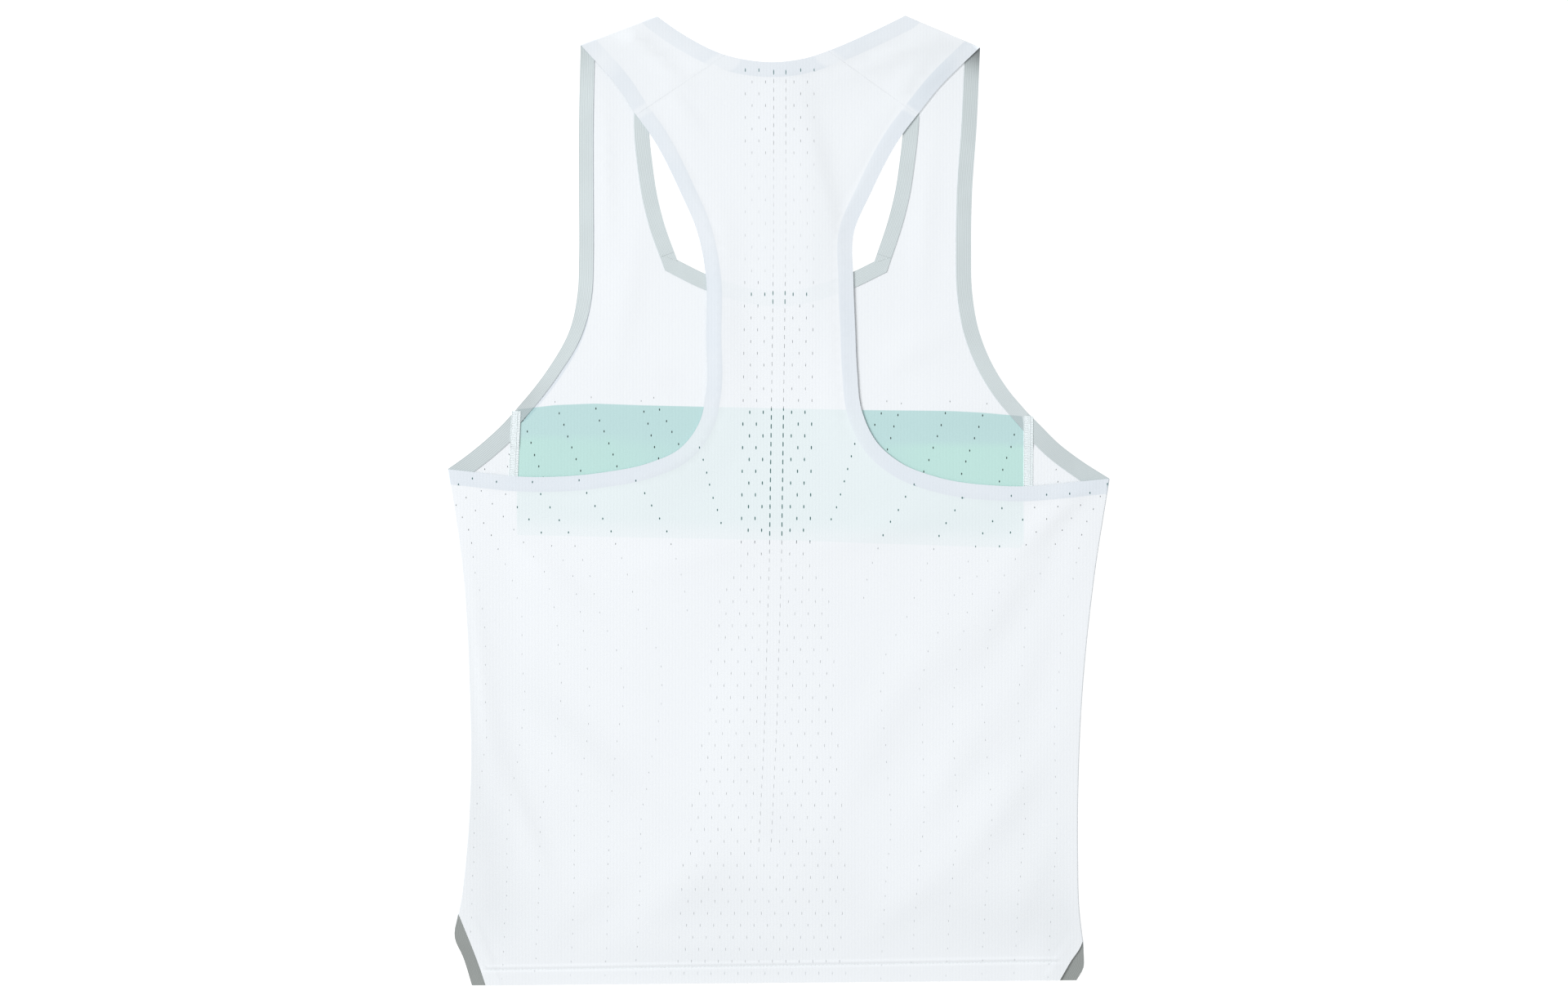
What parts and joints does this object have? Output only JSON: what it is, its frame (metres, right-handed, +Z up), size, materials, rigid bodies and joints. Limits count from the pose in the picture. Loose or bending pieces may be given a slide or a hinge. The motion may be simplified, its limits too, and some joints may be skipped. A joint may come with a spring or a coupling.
{
  "type": "running singlet laid flat",
  "caption": "Sleeveless racer-back running singlet in light perforated knit, laid flat on its front, with bonded edge tapes, a printed chest band and side vents.",
  "frame": {"origin": "on the surface the singlet lies on, under the middle of its box", "axes": "+Y from the hem to the neck, +Z up from the surface, +X to the right as seen from above, on the side of the back's right"},
  "size_m": [0.4862, 0.7114, 0.0072],
  "materials": {
    "cloth": "matte light knit",
    "tape": "satin bonded tape"
  },
  "bodies": {
    "root": {"front_panel": "cloth", "back_panel": "cloth", "neck_tape_back": "tape", "neck_tape_front_left": "tape", "neck_tape_front_centre": "tape", "neck_tape_front_right": "tape", "armhole_tape_front_left": "tape", "armhole_tape_front_right": "tape", "armhole_tape_back_left": "tape", "armhole_tape_back_right": "tape", "vent_tape_left_front": "tape", "vent_tape_left_back": "tape", "vent_tape_right_front": "tape", "vent_tape_right_back": "tape"}
  },
  "joints": []
}
